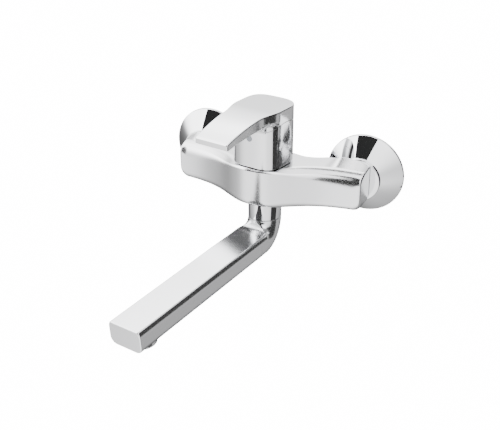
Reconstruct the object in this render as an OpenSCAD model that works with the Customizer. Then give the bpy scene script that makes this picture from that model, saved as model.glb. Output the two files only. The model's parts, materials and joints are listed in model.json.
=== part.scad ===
// Wall-mounted single-lever mixer tap with a swivel spout.
// Frame: the origin lies in the wall plane, midway between the two wall inlets.
// +X points right, +Z up, and the tap stands out of the wall towards -Y.

/* [Wall connection] */
// Distance between the two wall inlets
inlet_spacing = 150; // [140:1:160]
// How far the eccentric unions drop the tap below the wall inlets
union_drop = 5; // [3:0.5:7]
// Radius of the male thread that screws into the wall
wall_thread_r = 10.48; // [9.5:0.01:11]
// Length of the male thread behind the wall plane
wall_thread_len = 15; // [10:1:22]
// Radius of the water bore at the wall end of a union
wall_bore_r = 7; // [5:0.5:8]
// Radius of the male thread at the tap end of a union
union_thread_r = 13.22; // [12.8:0.01:13.6]
// Radius of the water bore at the tap end of a union
union_bore_r = 9; // [7:0.5:10]
// Thickness of the eccentric flange
union_flange_t = 3.5; // [3:0.5:5]
// Distance from the wall plane to the union's sealing face
union_face_out = 14; // [13.5:0.25:14.5]

/* [Escutcheons] */
// Outer radius of an escutcheon
escutcheon_r = 34.3; // [31:0.1:36]
// Height of an escutcheon's dome above the wall
escutcheon_h = 15.4; // [14.8:0.1:15.5]
// Height of the straight rim against the wall
escutcheon_rim = 2.6; // [1.5:0.1:4]
// Sheet thickness of an escutcheon
escutcheon_wall = 1.2; // [0.8:0.1:1.6]

/* [Union nuts] */
// Radius of a union nut's round collar
nut_collar_r = 18.5; // [18:0.1:19]
// Thickness of the round collar
nut_collar_t = 3.6; // [3:0.1:4.5]
// Width across flats of a union nut
nut_flats = 30; // [29:0.5:31]
// Thickness of the inlet washer
inlet_washer_t = 1.5; // [1:0.1:2]
// Thickness of the nipple's flange
nipple_flange_t = 2.4; // [2:0.1:3]
// Radius of the nipple's threaded tail
nipple_tail_r = 7.6; // [7.2:0.1:7.8]
// Radius of the nipple's water bore
nipple_bore_r = 5.8; // [5.4:0.1:6]
// Depth of the nipple's thread in the body
nipple_depth = 9; // [7:0.5:11]

/* [Body] */
// Half the length of the body
body_half = 85; // [83:0.5:90]
// Height of the body's top above the tap's inlet axis
body_top = 15.5; // [15:0.1:16]
// Height that the top loses at the two ends
body_end_fall = 2; // [0:0.25:4]
// Depth of the body's underside below the tap's inlet axis
body_bottom = 19.3; // [18:0.1:20]
// How far the front of the top face slopes down
body_front_fall = 4; // [2:0.25:6]
// Width of that slope, measured back from the front face
body_slope_w = 9; // [6:0.5:12]
// Height that the rear of the top gains in front of the inlets
boss_rise = 4.8; // [3:0.1:5]
// Radius of the front top edge
edge_front_r = 2.2; // [1.5:0.1:3]
// Radius of the front top edge at the two ends
edge_front_end_r = 4.6; // [2:0.1:5.5]
// Radius of the rear edges
edge_rear_r = 2.4; // [1.5:0.1:3]
// Radius of the front bottom edge
edge_bottom_r = 7; // [5:0.5:10]
// Radius that rounds the underside up into the two ends
end_bottom_r = 7; // [3:0.5:9]
// Distance from the wall to the front face at the middle
front_mid = 71; // [70:0.5:74]
// Distance from the wall to the front face at the ends
front_end = 42.5; // [40:0.5:45]
// Distance from the wall to the rear face behind the handle
rear_mid = 20; // [18:0.5:22]
// Distance from the wall to the rear face at the inlets
rear_seat = 19.5; // [19.5:0.1:21]
// Distance from the wall to the rear face where it swells between handle and inlet
rear_swell = 14.5; // [14:0.5:18]

/* [Cartridge] */
// Distance from the wall to the handle's axis
handle_out = 48; // [46:0.5:49]
// Radius of the cartridge chamber
chamber_r = 15; // [14.5:0.1:15.4]
// Depth of the chamber floor below the tap's inlet axis
chamber_floor = 4; // [3:0.25:5]
// Radius of the retaining nut's thread
retainer_r = 16.3; // [16:0.1:16.6]
// Outer radius of the neck that stands above the body
neck_r = 18; // [17.6:0.1:18.2]
// Height of the neck's top above the tap's inlet axis
neck_top = 24; // [23:0.25:25]
// Height at which the cartridge's shoulder is clamped
shoulder_z = 15; // [14:0.25:16]
// Height of the lever's tilt axis above the tap's inlet axis
pivot_z = 15; // [14.5:0.25:16]
// Radius of the tilt pin
pin_r = 2; // [1.5:0.1:2.2]
// Width across the square stem
stem_w = 5; // [4.5:0.1:5.2]
// Length of the stem above the tilt axis
stem_len = 30; // [28:0.5:32]
// Distance from the tilt axis down to the stem's driving ball
ball_drop = 7.5; // [7:0.25:8]
// Radius of the driving ball
ball_r = 2.3; // [2:0.1:2.6]
// Radius of the ceramic discs
disc_r = 12.6; // [12:0.1:12.8]
// Thickness of a ceramic disc
disc_t = 2.6; // [2:0.1:3]

/* [Handle] */
// Half the width of the handle block
block_half_w = 22; // [21.5:0.25:23]
// Half the depth of the handle block
block_half_d = 21; // [20.75:0.25:22]
// Exponent of the block's rounded-square outline
block_power = 3.5; // [2.6:0.1:4]
// Height of the lever's top above the tap's inlet axis
handle_top = 65.5; // [63:0.5:67]
// Gap between the body and the block
block_gap = 0.8; // [0.5:0.1:1.2]
// Wall thickness of the block
block_wall = 2.2; // [2:0.1:2.4]
// Height of the parting line where it meets the block's front
seam_z = 48; // [46:0.5:49]
// Gap along the parting line
seam_gap = 0.3; // [0.25:0.05:0.5]
// Distance from the handle's axis to the lever's tip
lever_reach = 72; // [64:1:80]
// Radius of the lever's curved top towards the tip
lever_top_r = 170; // [140:5:220]
// Half the width of the lever at its tip
lever_tip_half = 15.4; // [14:0.1:17]
// Half the width of the lever's neck
lever_neck_half = 17.6; // [16:0.1:18.5]
// Thickness of the lever at its tip
lever_tip_t = 5.2; // [4.5:0.1:6.5]
// Thickness of the lever where it leaves the block
lever_root_t = 9; // [8:0.25:10]
// Length of the hollow where the lever's underside meets the block
lever_fillet = 10.5; // [8:0.5:12]
// Radius of the hub that takes the stem
hub_r = 4.9; // [4.7:0.1:5]
// Height of the grub screw and of its access plug
plug_z = 41.5; // [39:0.5:42]
// Radius of the access plug
plug_r = 2.6; // [2:0.1:3]
// Radius of the grub screw
grub_r = 1.5; // [1.2:0.1:1.8]
// Angle by which the handle is turned at rest
handle_rest_turn = 9; // [0:1:20]
// Greatest upward tilt of the lever
tilt_max = 22; // [18:1:22]

/* [Spout] */
// Distance from the wall to the spout's swivel axis
spout_out = 44.4; // [43:0.2:45]
// Angle by which the spout is turned at rest
spout_rest_turn = 9; // [0:1:20]
// Downward slope of the spout's arm
spout_slope = 3; // [0:0.5:6]
// Radius of the collar nut and of the spout's upper end
collar_r = 14.5; // [14.2:0.1:15]
// Depth of the collar nut's lower end below the tap's inlet axis
collar_end = 37; // [36.5:0.25:38]
// Radius of the outlet spigot's thread
spigot_r = 12; // [11.6:0.1:12.2]
// Depth of the spigot's end below the tap's inlet axis
spigot_end = 31; // [30:0.25:31.2]
// Radius of the spout's swivel tail
tail_r = 9; // [8.6:0.1:9.2]
// Radial clearance of the swivel tail in its bore
swivel_clear = 0.05; // [0.02:0.01:0.1]
// Radius of the water bore in the swivel tail
tail_bore_r = 6.8; // [6:0.1:7]
// Distance from the swivel axis to the spout's end
spout_reach = 184; // [150:1:220]
// Width of the spout's arm
spout_w = 31; // [28:0.5:34]
// Thickness of the spout's arm
spout_t = 20; // [18:0.25:21]
// Depth of the arm's top below the tap's inlet axis, at the swivel axis
spout_top = 44.4; // [43.5:0.1:46]
// Radius of the arm's upper edges
spout_edge_top = 2.6; // [1.5:0.1:4]
// Radius of the arm's lower edges
spout_edge_low = 6; // [4:0.5:7]
// How far the lower edge of the end face is set back
spout_undercut = 0.5; // [0:0.1:3]
// Wall thickness of the spout
spout_wall = 2; // [1.6:0.1:2.4]
// Distance from the spout's end to the outlet's axis
outlet_back = 17.5; // [16:0.5:24]

/* [Aerator] */
// Radius of the aerator housing's thread
aerator_thread_r = 11; // [10.5:0.1:11.5]
// Radius of the aerator's visible rim
aerator_rim_r = 12; // [11.7:0.1:13]
// How far the rim stands out under the spout
aerator_rim_h = 3.4; // [2.5:0.1:5]
// Length of the aerator's thread inside the spout
aerator_thread_len = 8; // [6:0.5:9]

/* [Fits] */
// Clearance between fixed pieces that screw or push together
fit_gap = 0.1; // [0.05:0.01:0.15]
// Clearance between pieces that move past each other
run_gap = 0.3; // [0.25:0.05:0.4]

/* [Hidden] */

inlet_x = inlet_spacing / 2;
tap_z = -union_drop;
washer_face = union_face_out + inlet_washer_t;
nipple_front = washer_face + nipple_flange_t;
nut_lip_t = 1.5;
nut_front = nipple_front + nut_lip_t;
collar_back = nut_front - nut_collar_t;
nipple_end = rear_seat + nipple_depth;
channel_r = 4;
channel_y = 36.5;
channel_z = -10;
port_r = 3;
port_x = 8;
port_y = handle_out - 4;
outlet_y = handle_out + 2.5;
housing_in_r = chamber_r - 2;
base_z = 1 - chamber_floor;
disc_z = base_z + 2;
slide_z = disc_z + disc_t + 0.05;
puck_z = slide_z + disc_t;
ball_z = pivot_z - ball_drop;
carrier_z = ball_z + ball_r + 0.6;
flange_top = shoulder_z + 2;
head_top = neck_top + 2;
plate_z = head_top + 0.5;
plate_t = 2;
carrier_top = plate_z + plate_t;
carrier_neck_r = 11.4;
boss_w = 7;
boss_r = 3.6;
block_z = body_top + block_gap;
seam_r = sqrt(pow(block_half_d, 2) + pow(seam_z - pivot_z, 2));
lever_bend = lever_reach - sqrt(2 * lever_top_r * 9.6);
hub_z = plug_z - 2.6;
stem_top = pivot_z + stem_len;
tail_top = 17.5;
clip_z = spigot_end + 0.6;
clip_t = 1.3;
lip_z = collar_end - 2.5;
slip_t = 1.3;
spout_seam = collar_end + run_gap;
tail_end = spout_top + 1.4;
bar_len = spout_reach / cos(spout_slope);
outlet_s = bar_len - outlet_back;
elbow_r = ((spout_top - spout_seam) * cos(spout_slope) + spout_t / 2) / (1 - sin(spout_slope));
elbow_u = elbow_r * cos(spout_slope) - (spout_top - spout_seam) * sin(spout_slope);
elbow_len = elbow_r * (90 + spout_slope) * PI / 180 + 8;

chrome = [0.80, 0.81, 0.83];
brass = [0.80, 0.64, 0.34];
steel = [0.66, 0.67, 0.68];
plastic = [0.86, 0.86, 0.84];
grey_plastic = [0.35, 0.37, 0.40];
ceramic = [0.93, 0.92, 0.88];
rubber = [0.10, 0.10, 0.11];

$fn = 96;

// Ring standing on the XY plane
module ring(outer, inner, h) {
    difference() {
        cylinder(r = outer, h = h);
        translate([0, 0, -1]) cylinder(r = inner, h = h + 2);
    }
}

// Moves a shape drawn upwards so that it points out of the wall, y0 away from the wall
module out_of_wall(x, y0) {
    translate([x, -y0, 0]) rotate([90, 0, 0]) children();
}

// Frame of the handle: forward is -Y, turned to its resting direction
module handle_frame() {
    translate([0, -handle_out, tap_z]) rotate([0, 0, -handle_rest_turn]) children();
}

// Frame of the spout: forward is -Y, turned to its resting direction
module spout_frame() {
    translate([0, -spout_out, tap_z]) rotate([0, 0, -spout_rest_turn]) children();
}

// Extrudes a side view, drawn as (forward, up), across the width
module side_extrude(w) {
    rotate([0, 0, -90]) rotate([90, 0, 0]) linear_extrude(height = w, center = true) children();
}

function sgn(v) = v < 0 ? -1 : 1;
function super_pt(a, b, p, t) =
    [a * sgn(cos(t)) * pow(abs(cos(t)), 2 / p), b * sgn(sin(t)) * pow(abs(sin(t)), 2 / p)];
function super_outline(a, b, p, n = 64) = [for (i = [0:n - 1]) super_pt(a, b, p, (i + 0.5) * 360 / n)];
function arc(c, r, a0, a1, n) =
    [for (i = [0:n]) [c[0] + r * cos(a0 + (a1 - a0) * i / n), c[1] + r * sin(a0 + (a1 - a0) * i / n)]];
function bezier(a, b, c, d, t) =
    pow(1 - t, 3) * a + 3 * pow(1 - t, 2) * t * b + 3 * (1 - t) * t * t * c + pow(t, 3) * d;
function smooth(a, b, v) = let (t = min(1, max(0, (v - a) / (b - a)))) t * t * (3 - 2 * t);

// Body casting: front and rear outlines in plan, as distances from the wall
function bell(x) = 1 / (1 + pow(abs(x) / (0.452 * body_half), 2.6));
function front_out(x) =
    front_end + (front_mid - front_end) * (bell(x) - bell(body_half)) / (1 - bell(body_half));
function rear_wave(x) =
    rear_mid + 3 * exp(-pow((x - 28) / 10, 2)) - (rear_mid - rear_swell) * exp(-pow((x - 50) / 8, 2));
function rear_out(x) = let (w = smooth(inlet_x - 22, inlet_x - 18.4, abs(x)))
    (1 - w) * rear_wave(abs(x)) + w * rear_seat;
function top_at(x) = body_top - body_end_fall * pow(abs(x) / body_half, 2);
function rear_rise(x) = boss_rise * smooth(inlet_x - 25, inlet_x - 13, abs(x))
    * (1 - smooth(inlet_x - 1, inlet_x + 13, abs(x)));
function front_fall(x) = body_front_fall * smooth(10, 36, abs(x));
function end_rise(x) = let (t = min(1, max(0, abs(x) - body_half + end_bottom_r) / end_bottom_r))
    end_bottom_r * (1 - sqrt(1 - 0.96 * t * t));

// Cross-section of the body at x, inset by d, as (y, z) points
function body_section(x, d) =
    let (
        yf = -front_out(x) + d,
        yr = -rear_out(x) - d,
        zt = top_at(x) - d,
        zb = -body_bottom + d + end_rise(x),
        fall = front_fall(x),
        z1 = zt - fall,
        slope = atan(fall / body_slope_w),
        r1 = edge_front_r + (edge_front_end_r - edge_front_r) * smooth(20, body_half, abs(x)),
        zc = z1 - r1 * (1 - sin(slope)) / cos(slope),
        r2 = edge_rear_r,
        r3 = edge_bottom_r
    )
    concat(
        arc([yr - r2, zb + r2], r2, 0, -90, 3),
        arc([yf + r3, zb + r3], r3, -90, -180, 5),
        arc([yf + r1, zc], r1, 180, 90 + slope, 3),
        [for (i = [0:3])
            let (t = i / 3, a = [yf + 0.6 * body_slope_w, z1 + 0.6 * fall],
                 b = [yf + body_slope_w, zt], c = [yf + 1.4 * body_slope_w, zt])
            pow(1 - t, 2) * a + 2 * t * (1 - t) * b + t * t * c],
        arc([yr - r2, zt + rear_rise(x) - r2], r2, 90, 0, 3)
    );

// Loft through a list of closed rings of points, closed at both ends
module loft(rings) {
    n = len(rings);
    m = len(rings[0]);
    mid = function(r) [for (v = r) 1] * r / m;
    pts = concat([for (r = rings) each r], [mid(rings[0]), mid(rings[n - 1])]);
    caps = [for (j = [0:m - 1]) let (k = (j + 1) % m)
        each [[k, j, n * m], [(n - 1) * m + j, (n - 1) * m + k, n * m + 1]]];
    sides = [for (i = [0:n - 2]) for (j = [0:m - 1]) let (k = (j + 1) % m)
        each [[i * m + j, (i + 1) * m + k, (i + 1) * m + j], [i * m + j, i * m + k, (i + 1) * m + k]]];
    polyhedron(points = pts, faces = concat(caps, sides));
}

module body_shape() {
    e = 1.4;
    steps = 18;
    right = concat(
        [for (i = [0:steps - 2]) [(body_half - e) * i / steps, 0]],
        [for (g = [5, 3.6, 2.4, 1.2, 0]) [body_half - e - g, 0]],
        [for (a = [30, 60, 90]) [body_half - e + e * sin(a), e * (1 - cos(a))]]
    );
    left = [for (i = [len(right) - 1:-1:1]) [-right[i][0], right[i][1]]];
    loft([for (s = concat(left, right)) [for (q = body_section(s[0], s[1])) [s[0], q[0], q[1]]]]);
}

// Waterways, chamber and threads inside the body
module body_casting() {
    color(chrome) translate([0, 0, tap_z]) difference() {
        union() {
            body_shape();
            translate([0, -handle_out, 0]) cylinder(r = neck_r, h = neck_top);
            translate([0, -spout_out, -spigot_end]) cylinder(r = spigot_r, h = spigot_end - 10);
        }
        translate([0, -handle_out, -chamber_floor]) cylinder(r = chamber_r, h = neck_top + chamber_floor + 1);
        translate([0, -handle_out, shoulder_z]) cylinder(r = retainer_r + fit_gap, h = neck_top);
        translate([0, -spout_out, -spigot_end - 1]) cylinder(r = tail_r + swivel_clear, h = spigot_end - 14.5);
        translate([0, -outlet_y, -16]) cylinder(r = port_r, h = 16 - chamber_floor + 1);
        for (k = [-1, 1]) {
            out_of_wall(k * inlet_x, rear_seat - 1) cylinder(r = nipple_tail_r + fit_gap, h = nipple_depth + 1.2);
            out_of_wall(k * inlet_x, rear_seat) cylinder(r = nipple_bore_r, h = channel_y - rear_seat);
            translate([k * inlet_x, -channel_y, channel_z]) rotate([0, -90 * k, 0])
                cylinder(r = channel_r, h = inlet_x - port_x);
            translate([k * inlet_x, -channel_y, channel_z]) cylinder(r = channel_r, h = -channel_z);
            translate([k * port_x, 0, channel_z]) out_of_wall(0, channel_y)
                cylinder(r = port_r, h = port_y - channel_y);
            translate([k * port_x, -port_y, channel_z]) cylinder(r = port_r, h = 7);
        }
    }
}

// Ports through the cartridge's base
module base_ports(r, h) {
    for (k = [-1, 1]) translate([k * port_x, handle_out - port_y, 0]) cylinder(r = r, h = h);
    translate([0, handle_out - outlet_y, 0]) cylinder(r = r, h = h);
}

module cartridge_frame() {
    translate([0, -handle_out, tap_z]) children();
}

module cartridge_base_seal() {
    color(rubber) cartridge_frame() translate([0, 0, -chamber_floor]) difference() {
        cylinder(r = chamber_r - 1.5, h = 1);
        translate([0, 0, -1]) base_ports(port_r, 4);
    }
}

module cartridge_housing() {
    color(plastic) cartridge_frame() difference() {
        union() {
            translate([0, 0, base_z]) cylinder(r = chamber_r - fit_gap, h = flange_top - base_z);
            translate([0, 0, shoulder_z]) cylinder(r = retainer_r - 0.3, h = flange_top - shoulder_z);
        }
        translate([0, 0, disc_z]) cylinder(r = housing_in_r, h = flange_top - disc_z + 1);
        translate([0, 0, base_z - 1]) base_ports(port_r, 5);
    }
}

module fixed_disc() {
    color(ceramic) cartridge_frame() translate([0, 0, disc_z]) difference() {
        cylinder(r = disc_r, h = disc_t);
        translate([0, 0, -1]) base_ports(port_r - 0.4, disc_t + 2);
    }
}

module cartridge_retaining_nut() {
    color(brass) cartridge_frame() difference() {
        union() {
            translate([0, 0, flange_top]) cylinder(r = retainer_r, h = neck_top - flange_top);
            translate([0, 0, neck_top - 0.5]) cylinder(r = 16.4, h = head_top - neck_top + 0.5, $fn = 6);
        }
        translate([0, 0, flange_top - 1]) cylinder(r = carrier_neck_r + 0.5, h = 20);
    }
}

// Turning part of the cartridge: it guides the stem and turns with the handle
module cartridge_carrier() {
    slot_back = (carrier_top - pivot_z) * tan(tilt_max) + boss_w / 2 + 0.4;
    color(grey_plastic) handle_frame() difference() {
        union() {
            translate([0, 0, carrier_z]) cylinder(r = housing_in_r - swivel_clear, h = flange_top - 0.5 - carrier_z);
            translate([0, 0, carrier_z]) cylinder(r = carrier_neck_r, h = carrier_top - carrier_z);
        }
        translate([-boss_w / 2 - run_gap, -boss_r - 0.6, carrier_z - 1])
            cube([boss_w + 2 * run_gap, boss_r + 0.6 + slot_back, carrier_top]);
        translate([0, 0, pivot_z]) rotate([0, 90, 0]) cylinder(r = pin_r + 0.02, h = 40, center = true);
    }
}

module tilt_pin() {
    color(steel) handle_frame() translate([0, 0, pivot_z]) rotate([0, 90, 0])
        cylinder(r = pin_r, h = 2 * carrier_neck_r - 1, center = true);
}

// Slider that carries the moving disc, driven by the stem's ball
module disc_slider() {
    color(grey_plastic) handle_frame() difference() {
        translate([0, 0, puck_z]) cylinder(r = disc_r - 3, h = carrier_z - run_gap - puck_z);
        translate([0, 0, puck_z + 0.4]) cylinder(r = ball_r + run_gap, h = 10);
    }
}

module moving_disc() {
    color(ceramic) handle_frame() difference() {
        translate([0, 0, slide_z]) cylinder(r = disc_r - 3, h = disc_t);
        translate([-4.5, -3, slide_z - 1]) cube([9, 6, 1 + disc_t / 2]);
    }
}

module cartridge_stem() {
    color(steel) handle_frame() difference() {
        union() {
            translate([-stem_w / 2, -stem_w / 2, pivot_z]) cube([stem_w, stem_w, stem_len]);
            translate([0, 0, pivot_z]) rotate([0, 90, 0]) cylinder(r = boss_r, h = boss_w, center = true);
            translate([0, 0, ball_z]) cylinder(r = 1.6, h = ball_drop);
            translate([0, 0, ball_z]) sphere(r = ball_r);
        }
        translate([0, 0, pivot_z]) rotate([0, 90, 0])
            cylinder(r = pin_r + swivel_clear, h = 20, center = true);
    }
}

// Outline of the handle block seen from above, drawn in by d
module block_plan(d) {
    polygon(super_outline(block_half_w - d, block_half_d - d, block_power));
}

// Block that turns with the handle; its top is an arc about the tilt axis
module cover_block() {
    t = tilt_max;
    w = hub_r + 0.35;
    rear = function(r) [-r * sin(t) - w * cos(t), pivot_z + r * cos(t) - w * sin(t)];
    color(chrome) handle_frame() difference() {
        union() {
            difference() {
                intersection() {
                    translate([0, 0, block_z]) linear_extrude(height = 60) block_plan(0);
                    translate([0, 0, pivot_z]) rotate([0, 90, 0]) cylinder(r = seam_r, h = 80, center = true);
                }
                intersection() {
                    translate([0, 0, block_z - 1]) linear_extrude(height = 60) block_plan(block_wall);
                    translate([0, 0, pivot_z]) rotate([0, 90, 0])
                        cylinder(r = seam_r - block_wall, h = 80, center = true);
                }
            }
            translate([0, 0, plate_z]) linear_extrude(height = plate_t) block_plan(1);
        }
        translate([0, 0, plate_z - 1]) cylinder(r = carrier_neck_r + 0.02, h = plate_t + 2);
        side_extrude(2 * w) polygon([[w, 31], [w, 70], [-30, 70], rear(45), rear(20)]);
        translate([0, -block_half_d + 4, plug_z]) rotate([90, 0, 0]) cylinder(r = plug_r + 0.05, h = 8);
    }
}

module access_plug() {
    color(grey_plastic) handle_frame() translate([0, -block_half_d + 2.4, plug_z]) rotate([90, 0, 0])
        cylinder(r = plug_r, h = 2.7);
}

// Lever: top face, thickness, width and underside as functions of the distance s from the axis
function lever_top(s) = handle_top - (s > lever_bend ? pow(s - lever_bend, 2) / (2 * lever_top_r) : 0);
function lever_t(s) =
    lever_root_t + (lever_tip_t - lever_root_t) * pow((s - under_s) / (lever_reach - under_s), 1.3);
under_s = block_half_d + lever_fillet;
under_z = lever_top(under_s) - lever_root_t;
function lever_half(s) = min(block_half_w,
    lever_neck_half + (lever_tip_half - lever_neck_half) * (s - 24) / (lever_reach - 24)
    + 3.7 * (1 - smooth(8, 32, s)));
foot_s = 0.9 * block_half_d;
foot_half = block_half_w * pow(1 - pow(0.9, block_power), 1 / block_power);

// Side view of the lever; the tongue alone leaves out the foot that stands on the block
module lever_side(tongue = false) {
    n = 16;
    over = [for (i = [0:n]) let (s = lever_bend + (lever_reach - 0.6 - lever_bend) * i / n) [s, lever_top(s)]];
    tip = [[lever_reach, lever_top(lever_reach) - 0.6], [lever_reach, lever_top(lever_reach) - lever_tip_t + 0.8]];
    under = [for (i = [n:-1:0])
        let (s = under_s + (lever_reach - 0.8 - under_s) * i / n) [s, lever_top(s) - lever_t(s)]];
    foot = [for (a = [75:-15:0])
        [block_half_d + lever_fillet * (1 - cos(a)), seam_z + (under_z - seam_z) * sin(a)]];
    polygon(tongue
        ? concat([[-1, under_z], [-1, handle_top]], over, tip, under)
        : concat([[-block_half_d - 1, 30], [-block_half_d - 1, handle_top]], over, tip, under, foot,
            [[block_half_d, 30]]));
}

// Plan of the tongue, from the handle's axis to the tip
module tongue_plan() {
    n = 24;
    side = concat(
        [for (i = [0:n]) let (s = (lever_reach - 2.5) * i / n) [lever_half(s), -s]],
        [for (a = [30, 60, 90]) [lever_half(lever_reach) - 2.5 + 2.5 * cos(a), -lever_reach + 2.5 - 2.5 * sin(a)]]
    );
    polygon(concat(side, [for (i = [len(side) - 1:-1:0]) [-side[i][0], side[i][1]]]));
}

// Plan of the hollow foot between the block's front and the tongue
module foot_plan() {
    side = [for (i = [0:6]) let (s = foot_s + (under_s - foot_s) * i / 6)
        [foot_half + (lever_half(under_s) - foot_half) * smooth(0, 6, i), -s]];
    polygon(concat(side, [for (i = [6:-1:0]) [-side[i][0], side[i][1]]]));
}

module lever_handle() {
    color(chrome) handle_frame() difference() {
        union() {
            difference() {
                union() {
                    intersection() {
                        side_extrude(60) lever_side();
                        linear_extrude(height = 80) union() {
                            block_plan(0);
                            foot_plan();
                        }
                    }
                    intersection() {
                        side_extrude(60) lever_side(tongue = true);
                        linear_extrude(height = 80) tongue_plan();
                    }
                }
                translate([0, 0, pivot_z]) rotate([0, 90, 0])
                    cylinder(r = seam_r + seam_gap, h = 80, center = true);
            }
            translate([0, 0, hub_z]) cylinder(r = hub_r, h = handle_top - 6 - hub_z);
        }
        translate([-stem_w / 2 - 0.06, -stem_w / 2 - 0.06, hub_z - 1])
            cube([stem_w + 0.12, stem_w + 0.12, stem_top + 1.5 - hub_z]);
        translate([0, 0, plug_z]) rotate([90, 0, 0]) cylinder(r = grub_r + 0.03, h = 10);
    }
}

module lever_grub_screw() {
    color(steel) handle_frame() translate([0, -stem_w / 2, plug_z]) rotate([90, 0, 0]) difference() {
        cylinder(r = grub_r, h = hub_r - stem_w / 2 - 0.1);
        translate([0, 0, 1]) cylinder(r = grub_r * 0.55, h = 4, $fn = 6);
    }
}

// Collar nut that screws onto the outlet spigot
module spout_collar_nut() {
    color(chrome) translate([0, -spout_out, tap_z - collar_end]) difference() {
        cylinder(r = collar_r, h = collar_end - body_bottom - 0.2);
        translate([0, 0, collar_end - lip_z]) cylinder(r = spigot_r + fit_gap, h = 30);
        translate([0, 0, -1]) cylinder(r = tail_r + 0.4, h = 10);
    }
}

module spout_slip_ring() {
    color(plastic) translate([0, -spout_out, tap_z - lip_z]) ring(spigot_r - 0.1, tail_r + swivel_clear, slip_t);
}

module spout_swivel_tail() {
    color(brass) spout_frame() difference() {
        translate([0, 0, -tail_end]) cylinder(r = tail_r, h = tail_end - tail_top);
        translate([0, 0, -tail_end - 1]) cylinder(r = tail_bore_r, h = 40);
        translate([0, 0, -clip_z - clip_t]) ring(tail_r + 1, tail_r - 0.9, clip_t);
        for (z = [21.8, 26.8]) translate([0, 0, -z]) ring(tail_r + 1, tail_r - 0.9, 1.8);
    }
}

module o_ring(z) {
    color(rubber) spout_frame() translate([0, 0, -z]) ring(tail_r - 0.02, tail_r - 0.9, 1.8);
}

module upper_o_ring() {
    o_ring(21.8);
}

module lower_o_ring() {
    o_ring(26.8);
}

module spout_tail_clip() {
    color(steel) spout_frame() translate([0, 0, -clip_z - clip_t]) difference() {
        ring(tail_r + 1.8, tail_r - 0.9, clip_t);
        translate([-2, 0, -1]) cube([4, 20, 4]);
    }
}

// Cross-section of the spout's arm below its top face, inset by d
function arm_outline(d) =
    let (w = spout_w / 2 - d, h = spout_t - d, a = max(0.6, spout_edge_top - d), b = max(1, spout_edge_low - d))
    concat(
        arc([w - a, -d - a], a, 0, 90, 4),
        arc([-w + a, -d - a], a, 90, 180, 4),
        arc([-w + b, -h + b], b, 180, 270, 6),
        arc([w - b, -h + b], b, 270, 360, 6)
    );

module arm(d, from, to) {
    translate([0, -from, 0]) rotate([90, 0, 0]) linear_extrude(height = to - from) polygon(arm_outline(d));
}

// Section of the spout's skin, w wide and h high, as (across, down) points
function skin_section(w, h, a, b) =
    concat(
        arc([w / 2 - a, a], a, -90, 0, 5),
        arc([w / 2 - b, h - b], b, 0, 90, 5),
        arc([-w / 2 + b, h - b], b, 90, 180, 5),
        arc([-w / 2 + a, a], a, 180, 270, 5)
    );

// Elbow section at t from 0 to 1: round under the collar nut, flat where the bar begins
function elbow_ring(t) =
    let (
        d = t * elbow_len,
        turned = 90 + spout_slope,
        a = min(turned, d / elbow_r * 180 / PI),
        on = max(0, d - elbow_r * turned * PI / 180),
        k = smooth(0.1, 0.9, t),
        w = 2 * collar_r + (spout_w - 2 * collar_r) * k,
        h = 2 * collar_r + (spout_t - 2 * collar_r) * k,
        ra = min(h / 2, collar_r + (spout_edge_top - collar_r) * k),
        rb = min(h - ra, collar_r + (spout_edge_low - collar_r) * k)
    )
    [for (q = skin_section(w, h, ra - 0.01, rb - 0.01)) let (far = elbow_r - h / 2 + q[1])
        [q[0], -(elbow_r - far * cos(a) + on * sin(a)), -spout_seam - far * sin(a) + on * cos(a)]];

// Section of the straight bar at u along it, cut back by c at its underside
function bar_ring(u, c) =
    [for (q = skin_section(spout_w, spout_t, spout_edge_top - 0.01, spout_edge_low - 0.01))
        let (v = q[1], x = u - c * v / spout_t)
        [q[0], -(x * cos(spout_slope) - v * sin(spout_slope)), -spout_top - v * cos(spout_slope) - x * sin(spout_slope)]];

// Outer form of the spout, from the seam under the collar nut to the tip
module spout_form() {
    n = 14;
    rings = concat([for (i = [0:n]) elbow_ring(i / n)], [bar_ring(bar_len, spout_undercut)]);
    loft(rings);
}

// Waterway through the elbow, kept inside its walls
module elbow_passage() {
    module box(from, to) {
        translate([-tail_r, -to, -spout_t + spout_wall]) cube([2 * tail_r, to - from, spout_t - 2 * spout_wall]);
    }
    box(elbow_u, elbow_u + 12);
    intersection() {
        box(-8, elbow_u + 0.1);
        translate([0, -elbow_u, elbow_r - spout_t / 2]) rotate([0, 90, 0])
            cylinder(r = elbow_r + spout_t / 2 - spout_wall, h = 60, center = true);
    }
}

module spout_tube() {
    color(chrome) spout_frame() difference() {
        spout_form();
        translate([0, 0, -spout_top]) rotate([spout_slope, 0, 0]) {
            elbow_passage();
            difference() {
                arm(spout_wall, elbow_u + 11, bar_len - spout_undercut - spout_wall);
                translate([0, -outlet_s, -spout_t]) cylinder(r = aerator_thread_r + 2, h = aerator_thread_len + 3);
            }
        }
        translate([0, 0, -tail_end - 0.3]) cylinder(r = tail_r + 0.02, h = 30);
        translate([0, 0, -spout_top]) rotate([spout_slope, 0, 0]) translate([0, -outlet_s, -spout_t]) {
            translate([0, 0, -1]) cylinder(r = aerator_thread_r + fit_gap, h = aerator_thread_len + 2.5);
            cylinder(r = aerator_thread_r - 2.5, h = aerator_thread_len + 4);
        }
    }
}

// Places a shape on the outlet's axis, with z = 0 on the spout's underside
module outlet_frame() {
    spout_frame() translate([0, 0, -spout_top]) rotate([spout_slope, 0, 0])
        translate([0, -outlet_s, -spout_t]) children();
}

module aerator_housing() {
    color(chrome) outlet_frame() difference() {
        union() {
            cylinder(r = aerator_thread_r, h = aerator_thread_len);
            translate([0, 0, -aerator_rim_h]) cylinder(r = aerator_rim_r, h = aerator_rim_h);
        }
        translate([0, 0, -1.8]) cylinder(r = aerator_thread_r - 1.4, h = 20);
        translate([0, 0, -aerator_rim_h - 1]) cylinder(r = aerator_thread_r - 2.4, h = 20);
    }
}

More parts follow.
